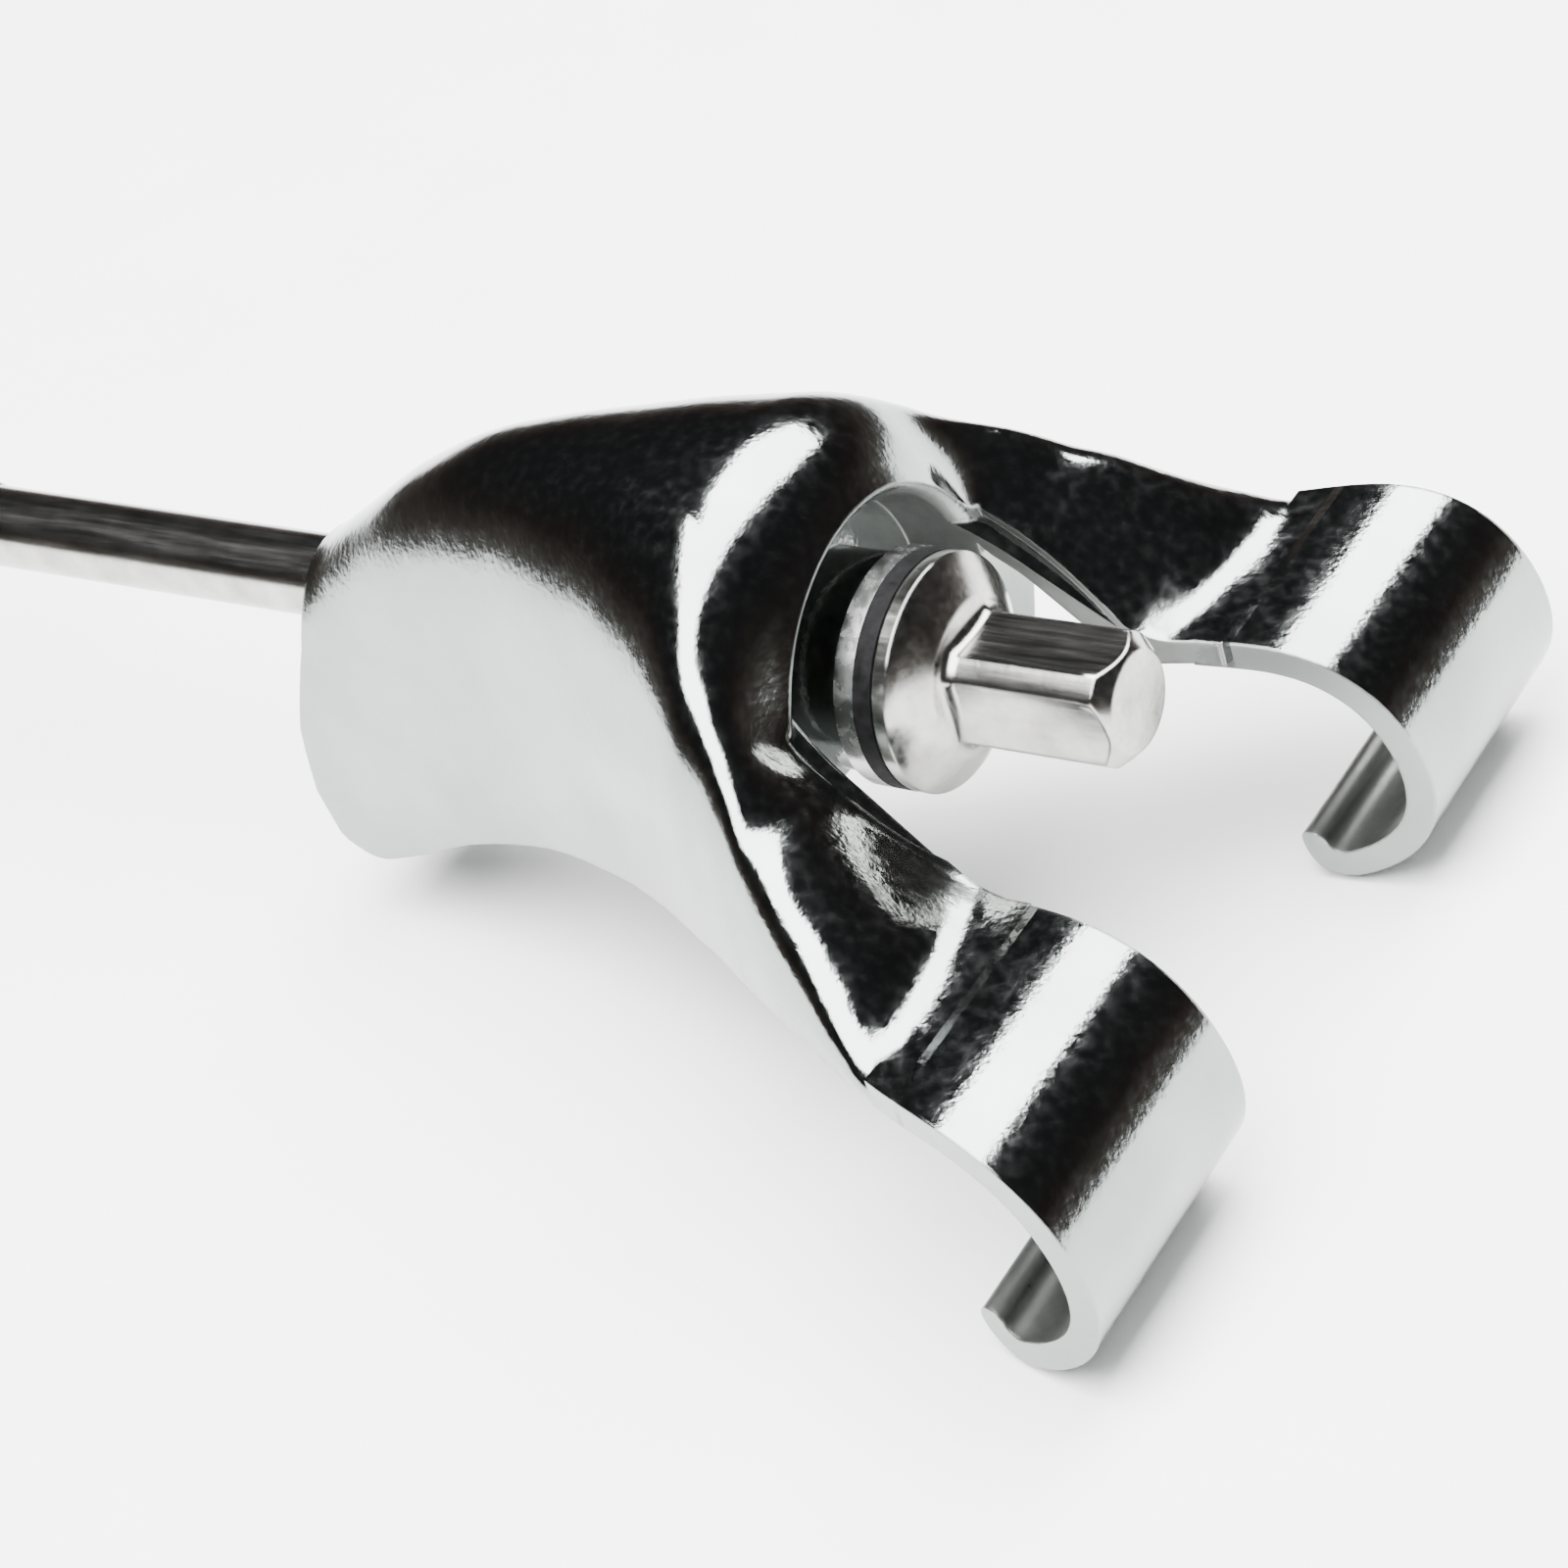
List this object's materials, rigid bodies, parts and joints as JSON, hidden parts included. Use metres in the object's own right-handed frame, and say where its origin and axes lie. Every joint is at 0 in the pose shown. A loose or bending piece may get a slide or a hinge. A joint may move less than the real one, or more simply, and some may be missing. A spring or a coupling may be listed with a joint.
{
  "type": "drum claw hook with key rod",
  "caption": "Chromed drum claw with two curled hooks, a domed hood and a square-headed tension rod that slides and turns through it on washers.",
  "frame": {"origin": "on the rod axis at the front edge of the flange rim, where the square head begins", "axes": "+X along the rod towards the square head, +Z away from the hook tips, +Y across the two hooks"},
  "size_m": [0.1363, 0.059, 0.0372],
  "materials": {
    "chrome_casting": "polished",
    "nickel_rod": "satin",
    "steel_washer": "satin",
    "black_nylon": "matte"
  },
  "bodies": {
    "casting": {"claw": "chrome_casting"},
    "carrier": {"steel_washer": "steel_washer"},
    "rod": {"key_rod": "nickel_rod"},
    "black_ring": {"black_washer": "black_nylon"}
  },
  "joints": [
    {"name": "rod_slide", "type": "slide", "parent": "casting", "child": "carrier", "axis": [1, 0, 0], "range_m": [0, 0.04]},
    {"name": "rod_spin", "type": "hinge", "parent": "carrier", "child": "rod", "pos_m": [0, 0, 0], "axis": [1, 0, 0], "continuous": true},
    {"name": "black_washer_spin", "type": "hinge", "parent": "carrier", "child": "black_ring", "pos_m": [0, 0, 0], "axis": [1, 0, 0], "continuous": true}
  ]
}
